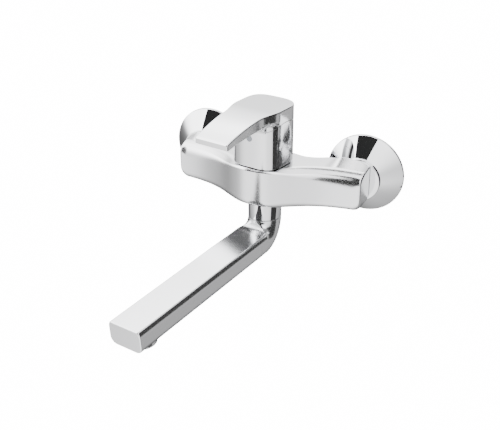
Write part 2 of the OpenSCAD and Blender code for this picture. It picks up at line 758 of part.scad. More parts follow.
module aerator_insert() {
    pitch = 3;
    color(plastic) outlet_frame() translate([0, 0, -1.8]) difference() {
        cylinder(r = aerator_thread_r - 1.5, h = 6);
        translate([0, 0, 1.6]) cylinder(r = aerator_thread_r - 2.6, h = 8);
        for (i = [-2:2]) for (j = [-2:2])
            if (i * i + j * j < 6) translate([i * pitch, j * pitch, -1]) cylinder(r = 0.9, h = 4, $fn = 24);
    }
}

module aerator_washer() {
    color(rubber) outlet_frame() translate([0, 0, aerator_thread_len]) ring(aerator_thread_r - 0.1, aerator_thread_r - 2.6, 1.4);
}

// Eccentric union between the wall and the tap
module s_union(x) {
    color(chrome) difference() {
        union() {
            translate([x, wall_thread_len, 0]) rotate([90, 0, 0]) cylinder(r = wall_thread_r, h = wall_thread_len + 1);
            translate([x, 0, tap_z / 2]) rotate([90, 0, 0]) cylinder(r = 17, h = union_flange_t);
            translate([x, -1, tap_z]) rotate([90, 0, 0]) cylinder(r = union_thread_r, h = union_face_out - 1);
        }
        translate([x, wall_thread_len + 1, 0]) rotate([90, 0, 0]) cylinder(r = wall_bore_r, h = wall_thread_len + 3.5);
        translate([x, -1, tap_z]) rotate([90, 0, 0]) cylinder(r = union_bore_r, h = union_face_out);
    }
}

module left_s_union() {
    s_union(-inlet_x);
}

module right_s_union() {
    s_union(inlet_x);
}

// Domed cover over the wall outlet
module escutcheon(x) {
    h = escutcheon_h;
    r = escutcheon_r;
    w = escutcheon_wall;
    ro = 17.9;
    n = 12;
    outer = [for (i = [0:n])
        bezier([r, escutcheon_rim], [r - 4.1, 0.52 * h], [ro + 6, h - 2.7], [ro, h], i / n)];
    inner = [for (i = [n:-1:0])
        bezier([r - w, escutcheon_rim - 1], [r - 4.6 - w, 0.44 * h], [ro + 5.6, h - 2.9 - w], [ro, h - w], i / n)];
    color(chrome) translate([x, 0, tap_z]) rotate([90, 0, 0])
        rotate_extrude() polygon(concat([[r - w, 0], [r, 0]], outer, inner));
}

module left_escutcheon() {
    escutcheon(-inlet_x);
}

module right_escutcheon() {
    escutcheon(inlet_x);
}

// Union nut: hexagon behind, round collar in front against the body
module union_nut(x) {
    back = 5;
    color(chrome) translate([0, 0, tap_z]) difference() {
        union() {
            out_of_wall(x, back) cylinder(r = nut_flats / 2 / cos(30), h = nut_front - 1 - back, $fn = 6);
            out_of_wall(x, collar_back) cylinder(r = nut_collar_r, h = nut_collar_t);
        }
        out_of_wall(x, back - 1) cylinder(r = union_thread_r + fit_gap, h = nipple_front - back + 1);
        out_of_wall(x, back) cylinder(r = nipple_tail_r + 0.3, h = 30);
    }
}

module left_union_nut() {
    union_nut(-inlet_x);
}

module right_union_nut() {
    union_nut(inlet_x);
}

// Flanged nipple screwed into the body
module inlet_nipple(x) {
    color(brass) translate([0, 0, tap_z]) difference() {
        union() {
            out_of_wall(x, washer_face) cylinder(r = union_thread_r - 0.3, h = nipple_flange_t);
            out_of_wall(x, washer_face) cylinder(r = nipple_tail_r, h = nipple_end - washer_face);
        }
        out_of_wall(x, washer_face - 1) cylinder(r = nipple_bore_r, h = 30);
    }
}

module left_inlet_nipple() {
    inlet_nipple(-inlet_x);
}

module right_inlet_nipple() {
    inlet_nipple(inlet_x);
}

module inlet_washer(x) {
    color(rubber) translate([0, 0, tap_z]) out_of_wall(x, union_face_out)
        ring(union_thread_r - 0.2, union_bore_r - 0.5, inlet_washer_t);
}

module left_inlet_washer() {
    inlet_washer(-inlet_x);
}

module right_inlet_washer() {
    inlet_washer(inlet_x);
}

// Non-return valve pushed into the nipple
module check_valve(x) {
    color(plastic) translate([0, 0, tap_z]) out_of_wall(x, washer_face + 1) {
        ring(nipple_bore_r - 0.05, nipple_bore_r - 1.4, 10);
        translate([-nipple_bore_r + 1, -1, 4]) cube([2 * nipple_bore_r - 2, 2, 2]);
        translate([0, 0, 2]) cylinder(r = 1.2, h = 6);
        translate([0, 0, 1]) cylinder(r = nipple_bore_r - 2.2, h = 1.4);
    }
}

module left_check_valve() {
    check_valve(-inlet_x);
}

module right_check_valve() {
    check_valve(inlet_x);
}

body_casting();
cartridge_housing();
cartridge_base_seal();
fixed_disc();
cartridge_retaining_nut();
spout_collar_nut();
spout_slip_ring();
left_s_union();
right_s_union();
left_escutcheon();
right_escutcheon();
left_union_nut();
right_union_nut();
left_inlet_nipple();
right_inlet_nipple();
left_inlet_washer();
right_inlet_washer();
left_check_valve();
right_check_valve();
cartridge_carrier();
tilt_pin();
cover_block();
access_plug();
disc_slider();
moving_disc();
cartridge_stem();
lever_handle();
lever_grub_screw();
spout_tube();
spout_swivel_tail();
upper_o_ring();
lower_o_ring();
spout_tail_clip();
aerator_housing();
aerator_insert();
aerator_washer();
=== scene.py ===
# %% [markdown]
# # Wall-mounted mixer tap
# The tap stands out of a wall towards -Y, with +X to the right and +Z up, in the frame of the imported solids.
# The sizes in the code are in millimetres, and MM turns them into the scene's metres. The tap's visible
# skins are polished chrome, where the eye sees every flat spot, so each one is swept again here with many
# more sections than the solids need.

# %% The solids and their box
import json
import math

import bmesh
import bpy
from mathutils import Matrix, Vector

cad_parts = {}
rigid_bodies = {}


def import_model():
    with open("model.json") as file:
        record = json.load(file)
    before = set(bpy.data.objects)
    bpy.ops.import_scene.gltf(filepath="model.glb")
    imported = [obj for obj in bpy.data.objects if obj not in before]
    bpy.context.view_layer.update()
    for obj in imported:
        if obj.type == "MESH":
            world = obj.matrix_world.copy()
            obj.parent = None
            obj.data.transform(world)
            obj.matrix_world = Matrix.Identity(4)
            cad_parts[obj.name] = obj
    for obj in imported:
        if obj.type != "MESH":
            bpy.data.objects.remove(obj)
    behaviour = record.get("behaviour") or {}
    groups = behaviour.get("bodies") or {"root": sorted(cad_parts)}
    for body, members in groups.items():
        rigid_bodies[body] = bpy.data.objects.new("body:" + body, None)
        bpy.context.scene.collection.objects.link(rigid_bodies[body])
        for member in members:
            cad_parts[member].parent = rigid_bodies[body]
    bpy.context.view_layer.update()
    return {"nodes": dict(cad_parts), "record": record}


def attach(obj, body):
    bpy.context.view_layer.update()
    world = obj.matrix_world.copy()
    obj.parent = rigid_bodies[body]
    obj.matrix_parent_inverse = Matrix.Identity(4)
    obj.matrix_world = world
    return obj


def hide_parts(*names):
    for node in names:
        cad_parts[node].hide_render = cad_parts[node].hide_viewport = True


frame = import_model()
MM = 0.001
tap_z = -5.0  # where the tap's own height zero lies in the shared frame
inlet_x = 75
print("solids:", len(frame["nodes"]))

# %% [markdown]
# ## Camera
# The camera's place was fitted to the outlines of the covers, the body, the lever and the spout. It looks
# down at the tap by about 27 degrees from the right.

# %% Camera
def add_camera(place, view_turn, view_tilt, lens):
    """Adds the scene's camera at a place, turned to the left and tilted down by two angles."""
    right = Vector((math.cos(view_turn), math.sin(view_turn), 0))
    back = Vector((math.sin(view_turn) * math.cos(view_tilt), -math.cos(view_turn) * math.cos(view_tilt),
                   math.sin(view_tilt)))
    up = back.cross(right)
    data = bpy.data.cameras.new("camera")
    data.lens = lens
    data.sensor_width = 36
    data.clip_start, data.clip_end = 0.01, 50
    camera = bpy.data.objects.new("camera", data)
    bpy.context.scene.collection.objects.link(camera)
    camera.matrix_world = Matrix((
        (right[0], up[0], back[0], place[0]),
        (right[1], up[1], back[1], place[1]),
        (right[2], up[2], back[2], place[2]),
        (0, 0, 0, 1),
    ))
    bpy.context.scene.camera = camera


camera_place = Vector((288.0, -667.1, 301.1)) * MM
focal_length = 63.23
add_camera(camera_place, math.radians(25.9), math.radians(26.65), focal_length)

# %% [markdown]
# ## Helpers for skins
# A skin is a ring of vertices that is extruded again and again. After each extrusion the new ring is moved
# onto the next cross-section, so the mesh is a regular net of quads that runs along the piece.

# %% Ring, sweep and object
def new_ring(bm, places):
    ring = bmesh.ops.create_circle(bm, segments=len(places), radius=1)["verts"]
    for vert, place in zip(ring, places):
        vert.co = place
    return ring


def ring_edges(bm, ring):
    return [bm.edges.get((ring[i - 1], ring[i])) for i in range(len(ring))]


def sweep(bm, sections, closed=False):
    """Sweeps a skin through its sections, with a cap on both ends or closed from the last to the first."""
    start = ring = new_ring(bm, sections[0])
    if not closed:
        bmesh.ops.edgeloop_fill(bm, edges=ring_edges(bm, ring))
    for places in sections[1:]:
        grown = bmesh.ops.extrude_edge_only(bm, edges=ring_edges(bm, ring))["geom"]
        fresh = {v for v in grown if isinstance(v, bmesh.types.BMVert)}
        step = {}
        for vert in fresh:
            for edge in vert.link_edges:
                other = edge.other_vert(vert)
                if other not in fresh:
                    step[other] = vert
        ring = [step[v] for v in ring]
        for vert, place in zip(ring, places):
            vert.co = place
    if closed:
        bmesh.ops.bridge_loops(bm, edges=ring_edges(bm, ring) + ring_edges(bm, start))
    else:
        bmesh.ops.edgeloop_fill(bm, edges=ring_edges(bm, ring))


def add_object(name, bm):
    """Ends a bmesh and links it to the scene as an object."""
    mesh = bpy.data.meshes.new(name)
    bm.to_mesh(mesh)
    bm.free()
    thing = bpy.data.objects.new(name, mesh)
    bpy.context.scene.collection.objects.link(thing)
    return thing


def add_piece(name, bm, body, node, sharp=40, weighted=True):
    """Makes a bmesh the smooth skin that rides on a body and replaces a solid."""
    bmesh.ops.remove_doubles(bm, verts=bm.verts, dist=1e-6)
    bmesh.ops.recalc_face_normals(bm, faces=bm.faces)
    piece = add_object(name, bm)
    mesh = piece.data
    mesh.shade_smooth()
    mesh.set_sharp_from_angle(angle=math.radians(sharp))
    if weighted:
        normals = piece.modifiers.new("weighted_normals", "WEIGHTED_NORMAL")
        normals.keep_sharp = True
    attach(piece, body)
    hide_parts(node)
    print(name, len(mesh.polygons), "faces")


# %% [markdown]
# ## Finishes
# Chrome is a mirror: its look is the studio around it, with only a trace of unevenness in the polish. The
# turned pieces and the wall covers mirror sharply. The lever and its block are a little softer, and the
# large skins of the body and the spout softer still, so that their reflections run out gently as in the
# photo. Brass, steel, ceramic, plastics and rubber are used for the inner pieces.

# %% Materials
def new_material(name, colour, metallic, roughness, detail, spread, bump=0.0, scale=400.0):
    """A material of one colour whose roughness varies by the spread, with an optional fine bump."""
    mat = bpy.data.materials.new(name)
    mat.use_nodes = True
    nodes, links = mat.node_tree.nodes, mat.node_tree.links
    shader = nodes["Principled BSDF"]
    shader.inputs["Metallic"].default_value = metallic
    place = nodes.new("ShaderNodeTexCoord")
    noise = nodes.new("ShaderNodeTexNoise")
    noise.inputs["Scale"].default_value = scale
    noise.inputs["Detail"].default_value = detail
    links.new(place.outputs["Object"], noise.inputs["Vector"])
    rough = nodes.new("ShaderNodeMapRange")
    rough.inputs["To Min"].default_value = max(0.0, roughness - spread)
    rough.inputs["To Max"].default_value = roughness + spread
    links.new(noise.outputs["Fac"], rough.inputs["Value"])
    links.new(rough.outputs["Result"], shader.inputs["Roughness"])
    tint = nodes.new("ShaderNodeMix")
    tint.data_type = "RGBA"
    tint.inputs["A"].default_value = (*[c * 0.97 for c in colour], 1)
    tint.inputs["B"].default_value = (*colour, 1)
    links.new(noise.outputs["Fac"], tint.inputs["Factor"])
    links.new(tint.outputs["Result"], shader.inputs["Base Color"])
    if bump:
        bumps = nodes.new("ShaderNodeBump")
        bumps.inputs["Strength"].default_value = bump
        bumps.inputs["Distance"].default_value = 0.0001
        links.new(noise.outputs["Fac"], bumps.inputs["Height"])
        links.new(bumps.outputs["Normal"], shader.inputs["Normal"])
    return mat


# Each has a colour, metallic, a roughness, the detail of its noise and the spread of its roughness.
chrome_colour = (0.86, 0.865, 0.88)
finishes = {
    "chrome": new_material("polished_chrome", chrome_colour, 1.0, 0.035, 2.0, 0.01, scale=60.0),
    "soft_chrome": new_material("soft_chrome", chrome_colour, 1.0, 0.12, 2.0, 0.015, scale=60.0),
    "satin_chrome": new_material("satin_chrome", chrome_colour, 1.0, 0.2, 2.0, 0.015, scale=60.0),
    "brass": new_material("turned_brass", (0.80, 0.62, 0.32), 1.0, 0.22, 3.0, 0.06, bump=0.1),
    "steel": new_material("turned_steel", (0.66, 0.67, 0.68), 1.0, 0.25, 3.0, 0.06, bump=0.1),
    "ceramic": new_material("lapped_ceramic", (0.92, 0.91, 0.87), 0.0, 0.3, 3.0, 0.05),
    "white_plastic": new_material("white_plastic", (0.86, 0.86, 0.84), 0.0, 0.4, 4.0, 0.06, bump=0.15),
    "grey_plastic": new_material("grey_plastic", (0.30, 0.32, 0.35), 0.0, 0.35, 4.0, 0.06, bump=0.15),
    "rubber": new_material("black_rubber", (0.03, 0.03, 0.032), 0.0, 0.6, 4.0, 0.08, bump=0.2),
}
print("finishes:", sorted(finishes))

# %% [markdown]
# ## Wall covers
# Each wall cover is a pressed cone with a short straight rim. Its profile is spun about the inlet's axis.

# %% Spun pieces
def bezier(a, b, c, d, t):
    u = 1 - t
    return tuple(u**3 * p + 3 * u * u * t * q + 3 * u * t * t * r + t**3 * s
                 for p, q, r, s in zip(a, b, c, d))


def spin(bm, profile, centre, axis, side, steps):
    """Spins a closed profile of (radius, height) points about an axis through centre."""
    axis, side = Vector(axis), Vector(side)
    verts = [bm.verts.new(Vector(centre) + axis * h + side * r) for r, h in profile]
    edges = [bm.edges.new((verts[i - 1], verts[i])) for i in range(len(verts))]
    bmesh.ops.spin(bm, geom=verts + edges, cent=centre, axis=axis, angle=2 * math.pi, steps=steps,
                   use_merge=True, use_duplicate=False)


def spin_on_inlet(bm, profile, x, steps):
    """Spins a profile in millimetres about the axis of the wall inlet at x."""
    points = [(r * MM, h * MM) for r, h in profile]
    spin(bm, points, (x * MM, 0, tap_z * MM), (0, -1, 0), (1, 0, 0), steps)


def round_corners(points, radii, steps):
    """Rounds each corner of a closed profile by its own radius."""
    done = []
    for i, (p, r) in enumerate(zip(points, radii)):
        p = Vector(p)
        if not r:
            done.append(tuple(p))
            continue
        before, after = Vector(points[i - 1]), Vector(points[(i + 1) % len(points)])
        u, v = (before - p).normalized(), (after - p).normalized()
        half = u.angle(v) / 2
        distance = r / math.tan(half)
        a, b = p + u * distance, p + v * distance
        centre = p + (u + v).normalized() * (r / math.sin(half))
        for k in range(steps + 1):
            w = (a - centre).lerp(b - centre, k / steps).normalized() * r
            done.append(tuple(centre + w))
    return done


def wall_cover(node, x):
    r, h, rim, wall, mouth = 34.3, 15.4, 2.6, 1.2, 17.9
    outer_steps, inner_steps = 48, 32
    foot = [(r - wall, 0), (r - 0.4, 0), (r - 0.12, 0.12), (r, 0.4), (r, rim - 0.8), (r - 0.04, rim - 0.4),
            (r - 0.15, rim - 0.1), (r - 0.32, rim + 0.15)]
    # The pulls keep both faces close to a straight cone, for straight edges in what they mirror.
    outer_pulls = (r - 5.0, rim + 4.2), (mouth + 5.6, h - 4.1)
    inner_pulls = (r - 5.2 - wall, rim + 3.1), (mouth + 5.2, h - 4.2 - wall)
    outer = [bezier((r, rim), *outer_pulls, (mouth, h), i / outer_steps) for i in range(1, outer_steps + 1)]
    inner = [bezier((r - wall, rim - 1), *inner_pulls, (mouth, h - wall), i / inner_steps)
             for i in range(inner_steps, -1, -1)]
    bm = bmesh.new()
    spin_on_inlet(bm, foot + outer + inner, x, steps=160)
    add_piece(node + "_skin", bm, "tap_body", node, weighted=False)


wall_cover("left_escutcheon", -inlet_x)
wall_cover("right_escutcheon", inlet_x)

# %% [markdown]
# ## Union nuts
# The round collar of each union nut shows as a bright ring behind the body. The hexagon behind it is used
# for the spanner and is mostly inside the cover.

# %% Union nuts
def union_nut(node, x):
    front, collar, back = 19.4, 15.8, 5.0
    ring_r, hole_r = 18.5, 10.0
    hexagon_r, bore_r = 17.3, 13.3
    ring = [(hole_r, front), (ring_r, front), (ring_r, collar), (hole_r, collar)]
    bm = bmesh.new()
    spin_on_inlet(bm, round_corners(ring, (0, 0.7, 0.4, 0), steps=5), x, steps=128)

    def hexagon(r, y):
        angles = [math.radians(60 * i) for i in range(6)]
        return [Vector((x + r * math.cos(t), -y, tap_z + r * math.sin(t))) * MM for t in angles]

    sweep(bm, [hexagon(hexagon_r, back), hexagon(hexagon_r, collar),
               hexagon(bore_r, collar), hexagon(bore_r, back)], closed=True)
    add_piece(node + "_skin", bm, "tap_body", node, sharp=30, weighted=False)


union_nut("left_union_nut", -inlet_x)
union_nut("right_union_nut", inlet_x)

# %% [markdown]
# ## Body
# The body is a bar that swells forward around the cartridge. Its cross-section changes along X: the front
# follows a bell curve, the rear a gentle wave, and a broad slope runs along the front of the top.

# %% Body outline
body_half, body_top, body_fall, body_bottom = 85.0, 15.5, 2.0, 19.3
front_mid, front_end, rear_mid, rear_seat, rear_swell = 71.0, 42.5, 20.0, 19.5, 14.5
bell_width, bell_power = 0.452, 2.6
shoulder, shoulder_x, shoulder_width = 3, 28, 10
waist_x, waist_width = 50, 8
seat_from, seat_to = 53, 56.6
end_round = 7
slope_fall, slope_start, slope_run, slope_end = 4, 5.4, 9, 12.6
low_r, rear_r = 7.0, 2.4
boss_rise = 4.8


def smooth(a, b, v):
    """Goes smoothly from 0 at a to 1 at b."""
    t = min(1.0, max(0.0, (v - a) / (b - a)))
    return t * t * (3 - 2 * t)


def hump(x, middle, width):
    return math.exp(-((x - middle) / width) ** 2)


def bell(x):
    return 1 / (1 + (abs(x) / (bell_width * body_half)) ** bell_power)


def front_out(x):
    return front_end + (front_mid - front_end) * (bell(x) - bell(body_half)) / (1 - bell(body_half))


def rear_out(x):
    x = abs(x)
    wave = (rear_mid + shoulder * hump(x, shoulder_x, shoulder_width)
            - (rear_mid - rear_swell) * hump(x, waist_x, waist_width))
    seat = smooth(seat_from, seat_to, x)
    return (1 - seat) * wave + seat * rear_seat


def end_rise(x):
    """Height by which the underside rounds up into the two ends."""
    t = min(1.0, max(0.0, abs(x) - body_half + end_round) / end_round)
    return end_round * (1 - math.sqrt(1 - 0.96 * t * t))


def rear_rise(x):
    """Height by which the rear edge of the top rises in front of the inlets."""
    return boss_rise * smooth(50, 62, abs(x)) * (1 - smooth(74, 88, abs(x)))


def front_edge(x):
    """Depth and height of the ellipse that rounds the front edge of the top."""
    deep = 2.2 + 2.4 * smooth(20, body_half, abs(x))
    return deep, deep * (1 + 1.5 * smooth(15, 60, abs(x)) * (1 - 0.7 * smooth(77, 84, abs(x))))


def arc(cy, cz, r, a0, a1, n):
    """Points along an arc about (cy, cz), from angle a0 to angle a1 in degrees."""
    angles = [math.radians(a0 + (a1 - a0) * i / n) for i in range(n + 1)]
    return [(cy + r * math.cos(t), cz + r * math.sin(t)) for t in angles]


def blend(a, b, c, n):
    """Points along a curve from a to c that leaves and arrives in line with b."""
    points = []
    for i in range(n + 1):
        t = i / n
        points.append(tuple((1 - t) ** 2 * p + 2 * t * (1 - t) * q + t * t * r for p, q, r in zip(a, b, c)))
    return points


def body_section(x, d):
    """The section at x, drawn in by d."""
    front, rear = -front_out(x) + d, -rear_out(x) - d
    top = body_top - body_fall * (abs(x) / body_half) ** 2 - d
    bottom = -body_bottom + d + end_rise(x)
    rear_top = top + rear_rise(x)
    fall = slope_fall * smooth(10, 36, abs(x))
    lip = top - fall
    slope = math.atan(fall / slope_run)
    deep, tall = front_edge(x)
    last = math.atan2(tall * math.cos(slope), deep * math.sin(slope))
    edge_z = lip + deep * (1 - math.cos(last)) * math.tan(slope) - tall * math.sin(last)
    edge_steps = 16
    angles = [last * i / edge_steps for i in range(edge_steps + 1)]
    knee = (front + slope_start, lip + 0.6 * fall), (front + slope_run, top), (front + slope_end, top)
    points = (arc(rear - rear_r, bottom + rear_r, rear_r, 0, -90, 8)
              + arc(front + low_r, bottom + low_r, low_r, -90, -180, 14)
              + [(front + deep * (1 - math.cos(t)), edge_z + tall * math.sin(t)) for t in angles]
              + blend(*knee, 12)
              + arc(rear - rear_r, rear_top - rear_r, rear_r, 90, 0, 8))
    return [Vector((x, y, z + tap_z)) * MM for y, z in points]


# %% Body skin
def body_skin():
    end = 1.4
    right = [i * 1.3 for i in range(59)] + [76.0 + i * 0.6 for i in range(13)] + [body_half - end]
    right = [(x, 0.0) for x in right]
    for t in range(15, 91, 15):
        k = math.radians(t)
        right.append((body_half - end + end * math.sin(k), end * (1 - math.cos(k))))
    stations = [(-x, d) for x, d in reversed(right[1:])] + right
    bm = bmesh.new()
    sweep(bm, [body_section(x, d) for x, d in stations])
    add_piece("body_skin", bm, "tap_body", "body_casting", sharp=50)


body_skin()

# %% [markdown]
# ## Handle and spout frames
# Both the handle and the spout stand turned by 9 degrees. Their skins are drawn with n across, s forward and
# z up from an upright axis, and these functions turn that into places on the tap.

# %% Turned frames
turn = math.radians(9)
handle_y, spout_y = -48.0, -44.4


def on_axis(axis_y, n, s, z):
    return Vector((n * math.cos(turn) - s * math.sin(turn),
                   axis_y - s * math.cos(turn) - n * math.sin(turn), z + tap_z)) * MM


def on_handle(n, s, z):
    return on_axis(handle_y, n, s, z)


def on_spout(n, s, z):
    return on_axis(spout_y, n, s, z)


# %% [markdown]
# ## Cover block
# The block is a rounded square in plan. Its top is an arc about the lever's tilt axis, with a slot for the
# lever's hub, so that the lever can tip back over it.

# %% Cover block
half_w, half_d, block_power, block_bottom, pivot_z = 22.0, 21.0, 3.5, 16.3, 15.0
seam_z, seam_gap = 48, 0.3
seam_r = math.hypot(half_d, seam_z - pivot_z)
block_wall = 2.2
slot_half_w, slot_half_d, slot_power, slot_back = 5.2, 12.45, 8, 7.2


def rounded_square(a, b, power, count=128):
    """Points (n, s) round a square of half sizes a and b; a higher power has tighter corners."""
    points = []
    for i in range(count):
        t = (i + 0.5) * 2 * math.pi / count
        c, s = math.cos(t), math.sin(t)
        points.append((a * math.copysign(abs(c) ** (2 / power), c),
                       b * math.copysign(abs(s) ** (2 / power), s)))
    return points


def over_arc(s, r):
    return pivot_z + math.sqrt(max(0.0, r * r - s * s))


def cover_block_skin():
    outer = rounded_square(half_w, half_d, block_power)
    inner = rounded_square(half_w - block_wall, half_d - block_wall, block_power)
    slot = [(n, s - slot_back) for n, s in rounded_square(slot_half_w, slot_half_d, slot_power)]
    rings = []
    for d, rise in ((0.5, 0), (0.15, 0.15), (0, 0.5)):
        rings.append([on_handle(n, s, block_bottom + rise)
                      for n, s in rounded_square(half_w - d, half_d - d, block_power)])
    rings.append([on_handle(n, s, over_arc(s, seam_r) - 0.15) for n, s in outer])
    rings.append([on_handle(n * 0.998, s * 0.998, over_arc(s, seam_r) - 0.04) for n, s in outer])
    for k in (0.02, 0.2, 0.4, 0.6, 0.8, 1.0):
        mix = [(p[0] + (q[0] - p[0]) * k, p[1] + (q[1] - p[1]) * k) for p, q in zip(outer, slot)]
        rings.append([on_handle(n, s, over_arc(s, seam_r)) for n, s in mix])
    for shape in (slot, inner):
        rings.append([on_handle(n, s, over_arc(s, seam_r - block_wall)) for n, s in shape])
    rings.append([on_handle(n, s, block_bottom) for n, s in inner])
    bm = bmesh.new()
    sweep(bm, rings, closed=True)
    add_piece("cover_block_skin", bm, "mixing_head", "cover_block", sharp=35)


cover_block_skin()

# %% [markdown]
# ## Lever
# The lever grows out of the block's top as a flat tongue that dips towards its tip. Its skin is swept from
# the back to the tip. Each section has a narrow foot, as wide as the block, and a wide top.

# %% Lever outline
top_z, reach, top_r = 65.5, 72.0, 170.0
tip_drop = 9.6
bend_s = reach - math.sqrt(2 * top_r * tip_drop)
under_run = 10.5
under_s = half_d + under_run
neck, neck_s, tip_half = 17.6, 24, 15.4
flare, flare_from, flare_to = 3.7, 8, 32
root_t, tip_t = 9.0, 5.2
foot_s = 19


def lever_top(s):
    return top_z - (max(0.0, s - bend_s) ** 2) / (2 * top_r)


def lever_under(s):
    if s <= half_d:
        return over_arc(s, seam_r + seam_gap)
    root = lever_top(under_s) - root_t
    if s < under_s:
        k = (s - half_d) / under_run
        return seam_z + (root - seam_z) * math.sqrt(max(0.0, 1 - (1 - k) ** 2))
    return lever_top(s) - (root_t + (tip_t - root_t) * ((s - under_s) / (reach - under_s)) ** 1.3)


def block_half(s):
    return half_w * max(0.0, 1 - min(1.0, abs(s) / half_d) ** block_power) ** (1 / block_power)


def lever_half(s):
    if s < 0:
        return block_half(s)
    taper = neck + (tip_half - neck) * (s - neck_s) / (reach - neck_s)
    return min(half_w, taper + flare * (1 - smooth(flare_from, flare_to, s)))


def foot_half(s):
    if s <= foot_s:
        return block_half(s)
    return block_half(foot_s) + (lever_half(under_s) - block_half(foot_s)) * smooth(foot_s, under_s, s)


# %% Lever skin
def lever_section(s, d=0.0):
    """The section at s, drawn in by d at the top, the sides and the underside."""
    low, high = lever_under(s) + d, lever_top(s) - d
    wide, narrow = max(0.3, lever_half(s) - d), max(0.3, min(lever_half(s), foot_half(s)) - d)
    edge = min(0.9, 0.45 * (high - low), 0.45 * wide)
    low_edge = 0.12
    shelf = lever_top(under_s) - root_t + 0.3
    side = []
    for i in range(7):
        t = math.radians(90 * i / 6)
        side.append((wide - edge + edge * math.sin(t), high - edge + edge * math.cos(t)))
    steps = 10
    for i in range(1, steps + 1):
        z = high - edge + (low + low_edge - high + edge) * i / steps
        side.append((narrow + (wide - narrow) * smooth(shelf - 2.5, shelf + 1.5, z), z))
    for i in range(1, 4):
        t = math.radians(90 * i / 3)
        side.append((narrow - low_edge + low_edge * math.cos(t), low + low_edge - low_edge * math.sin(t)))
    return [on_handle(n, s, z) for n, z in side] + [on_handle(-n, s, z) for n, z in reversed(side)]


def lever_skin():
    stations = [-half_d * math.sin(math.radians(t)) for t in range(88, 0, -4)]
    stations += [i * 1.0 for i in range(foot_s)]
    stations += [19.0, 19.8, 20.4, 20.8, 21.0, 21.02, 21.1, 21.25, 21.5,
                 21.9, 22.4, 23.0, 23.8, 24.8, 26, 27.4, 29, 30.4]
    stations += [under_s + (reach - 1.6 - under_s) * i / 34 for i in range(35)]
    rings = [lever_section(s) for s in stations]
    tip = 1.5
    for t in range(15, 91, 15):
        k = math.radians(t)
        rings.append(lever_section(reach - tip + tip * math.sin(k), tip * (1 - math.cos(k)) * 0.6))
    bm = bmesh.new()
    sweep(bm, rings)
    hub_r, hub_low, hub_high = 4.9, 38.9, 58
    angles = [math.radians(i * 7.5) for i in range(48)]
    sweep(bm, [[on_handle(hub_r * math.cos(t), hub_r * math.sin(t), z) for t in angles]
               for z in (hub_low, hub_high)])
    add_piece("lever_skin", bm, "lever", "lever_handle")


lever_skin()

# %% [markdown]
# ## Spout
# The spout starts as a round neck under the collar nut, turns forward in a tight elbow, and goes on as a
# flat bar. The elbow's sections fan out from a line in front of the neck while they change from round to
# flat.

# %% Spout outline
collar_r, spout_w, spout_t, spout_top, spout_seam, spout_reach = 14.5, 31.0, 20.0, 44.4, 37.3, 184.0
spout_slope = math.radians(3)
top_corner, low_corner, corner_stretch = 2.6, 6.0, 2.0
undercut = 0.5
quarter = math.pi / 2 + spout_slope
elbow_r = (((spout_top - spout_seam) * math.cos(spout_slope) + spout_t / 2)
           / (1 - math.sin(spout_slope)))
bar_start = 8
elbow_len = elbow_r * quarter + bar_start
corner_gap = 0.01  # keeps two round corners from meeting in one point


def flat_section(w, h, upper, lower, tall):
    """Points (across, down) of a bar's section with its top at 0; tall stretches the top corners down."""
    points = []
    steps = 12
    corners = ((w / 2 - upper, upper, upper, 90, 0), (w / 2 - lower, h - lower, lower, 0, -90),
               (-w / 2 + lower, h - lower, lower, -90, -180), (-w / 2 + upper, upper, upper, 180, 90))
    for n, v, r, a0, a1 in corners:
        for i in range(steps + 1):
            t = math.radians(a0 + (a1 - a0) * i / steps)
            down = v - r * math.sin(t)
            points.append((n + r * math.cos(t), down * tall if v == upper else down))
    return points


def elbow_ring(t, d=0.0):
    """Elbow section at t from 0 to 1, drawn in by d: round at the seam, flat where the bar begins."""
    way_along = t * elbow_len
    bent = min(quarter, way_along / elbow_r)
    on = max(0.0, way_along - elbow_r * quarter)
    k = smooth(0.1, 0.9, t)
    w = 2 * collar_r + (spout_w - 2 * collar_r) * k - 2 * d
    h = 2 * collar_r + (spout_t - 2 * collar_r) * k - 2 * d
    upper = min(h / 2, collar_r + (top_corner - collar_r) * k - d)
    lower = min(h - upper, collar_r + (low_corner - collar_r) * k - d)
    ring = []
    for n, v in flat_section(w, h, upper - corner_gap, lower - corner_gap, 1 + k):
        far = elbow_r - h / 2 + v
        ring.append(on_spout(n, elbow_r - far * math.cos(bent) + on * math.sin(bent),
                             -spout_seam - far * math.sin(bent) + on * math.cos(bent)))
    return ring


def on_bar(n, u, v):
    """A place on the sloping bar: n across, u along its top and v down from it."""
    return on_spout(n, u * math.cos(spout_slope) - v * math.sin(spout_slope),
                    -spout_top - v * math.cos(spout_slope) - u * math.sin(spout_slope))


def bar_ring(u, d=0.0, under=0.0):
    """Bar section at u, drawn in by d, with its underside set back by under."""
    ring = []
    for n, v in flat_section(spout_w, spout_t, top_corner, low_corner, corner_stretch):
        n = n * (1 - 2 * d / spout_w)
        v = d + v * (1 - 2 * d / spout_t)
        ring.append(on_bar(n, u - under * v / spout_t, v))
    return ring


# %% Spout skin
bar_length = spout_reach / math.cos(spout_slope)


def spout_skin():
    rings = [elbow_ring(0.0, 0.4), elbow_ring(0.001, 0.2), elbow_ring(0.004, 0.06), elbow_ring(0.009)]
    rings += [elbow_ring(0.016 + 0.984 * i / 56) for i in range(57)]
    start, end, steps = elbow_r + bar_start + 1.5, bar_length - 1.2, 40
    for i in range(steps + 1):
        u = start + (end - start) * i / steps
        rings.append(bar_ring(u, under=undercut * smooth(0.9, 1.0, i / steps)))
    tip = 1.0
    for t in range(15, 91, 15):
        k = math.radians(t)
        rings.append(bar_ring(bar_length - tip + tip * math.sin(k), tip * (1 - math.cos(k)), undercut))
    bm = bmesh.new()
    sweep(bm, rings)
    add_piece("spout_skin", bm, "spout", "spout_tube")


spout_skin()

